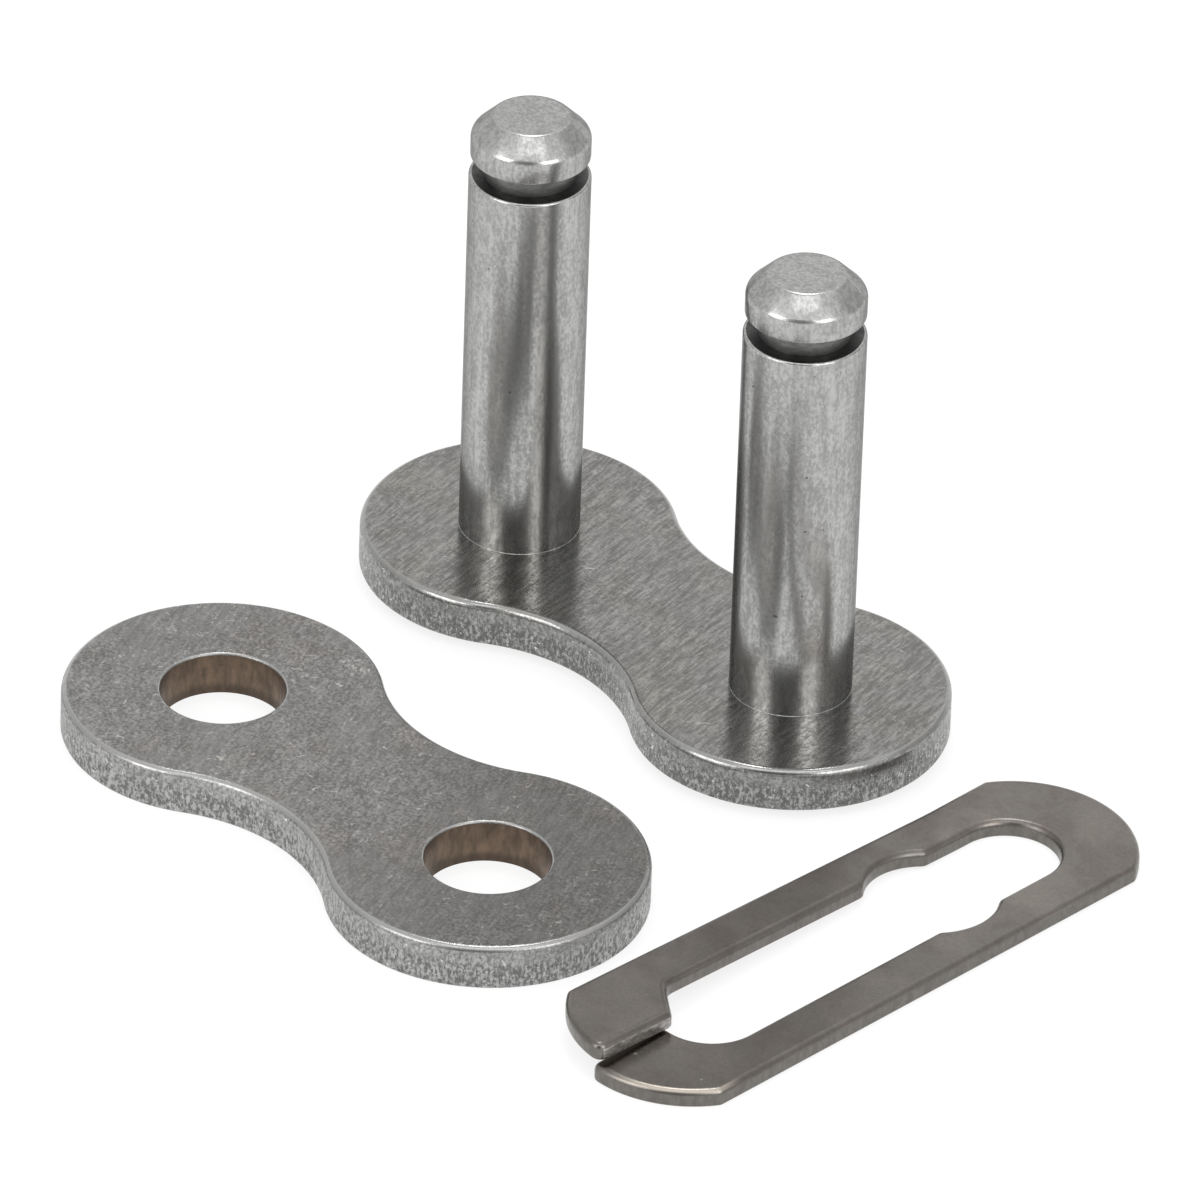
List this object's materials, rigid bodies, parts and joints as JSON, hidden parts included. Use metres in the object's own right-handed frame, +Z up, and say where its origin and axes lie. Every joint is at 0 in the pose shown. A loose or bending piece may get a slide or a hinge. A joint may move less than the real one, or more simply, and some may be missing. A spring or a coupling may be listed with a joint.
{
  "type": "chain connecting link",
  "caption": "Connecting link for a 12.7 mm pitch roller chain, laid out in pieces: a pin plate with peened pins, a loose cover plate and a split spring clip.",
  "frame": {"origin": "centre of the laid-out set's footprint, on the surface that the pieces lie on", "axes": "+Z up along the pins, +X along the pitch from the left pin to the right pin"},
  "size_m": [0.0318, 0.0242, 0.0173],
  "materials": {
    "pin_plate_steel": "pressed and tumbled steel with fine diagonal scratches and rough sheared edges",
    "pin_steel": "ground and tumbled hardened steel with small nicks",
    "cover_plate_steel": "matte tumbled steel with bright specks, a bright rolled edge and brown hole walls",
    "clip_steel": "smooth warm grey tempered spring steel"
  },
  "bodies": {
    "root": {"pin_plate": "pin_plate_steel", "pin_left": "pin_steel", "pin_right": "pin_steel", "cover_plate": "cover_plate_steel", "spring_clip": "clip_steel"}
  },
  "joints": []
}
